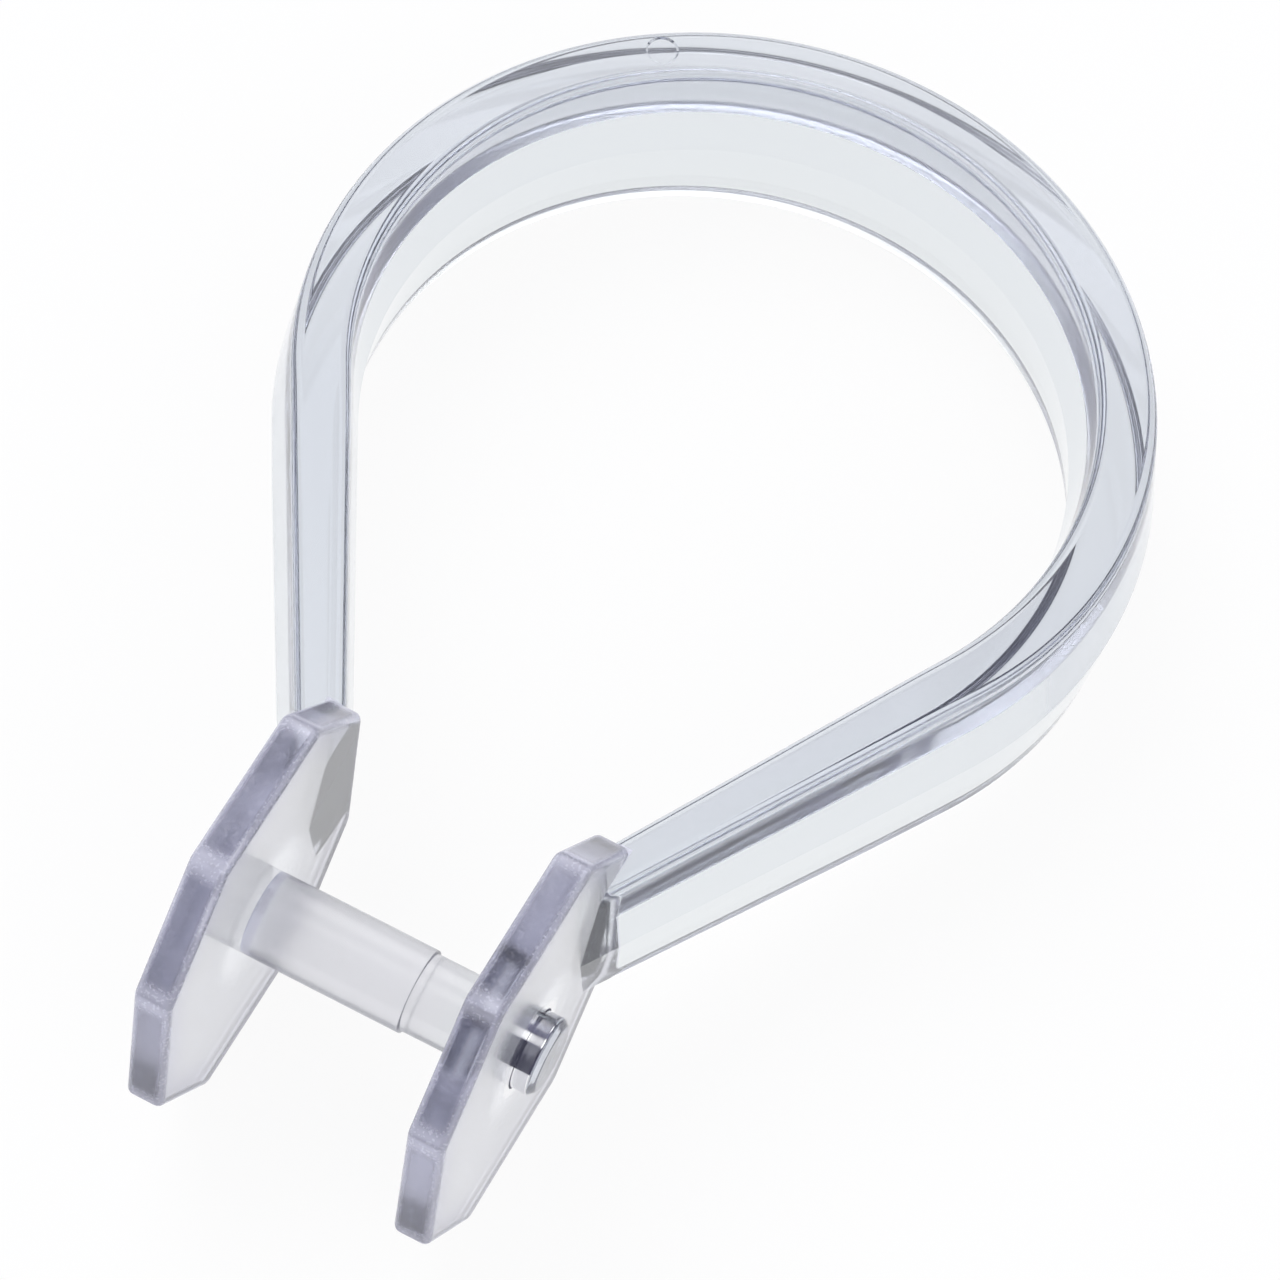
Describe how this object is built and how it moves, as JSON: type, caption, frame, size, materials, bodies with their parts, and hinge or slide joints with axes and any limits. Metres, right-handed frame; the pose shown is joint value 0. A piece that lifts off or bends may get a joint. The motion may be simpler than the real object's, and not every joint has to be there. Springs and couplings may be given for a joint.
{
  "type": "curtain ring",
  "caption": "Teardrop ring of clear plastic that slides on a curtain rod and carries a curtain's eyelet on a peg between its end plates.",
  "frame": {"origin": "centre of the round part, at half the height of the band, on the parting line", "axes": "ring lies on its side: +Y from the peg to the top of the ring, +X from the plate that carries the peg to the plate with the hole, +Z along the curtain rod"},
  "size_m": [0.0448, 0.0673, 0.021],
  "materials": {
    "clear_plastic": "clear, polished, faint blue-violet tint in thick parts"
  },
  "bodies": {
    "root": {"curtain_ring": "clear_plastic"}
  },
  "joints": []
}
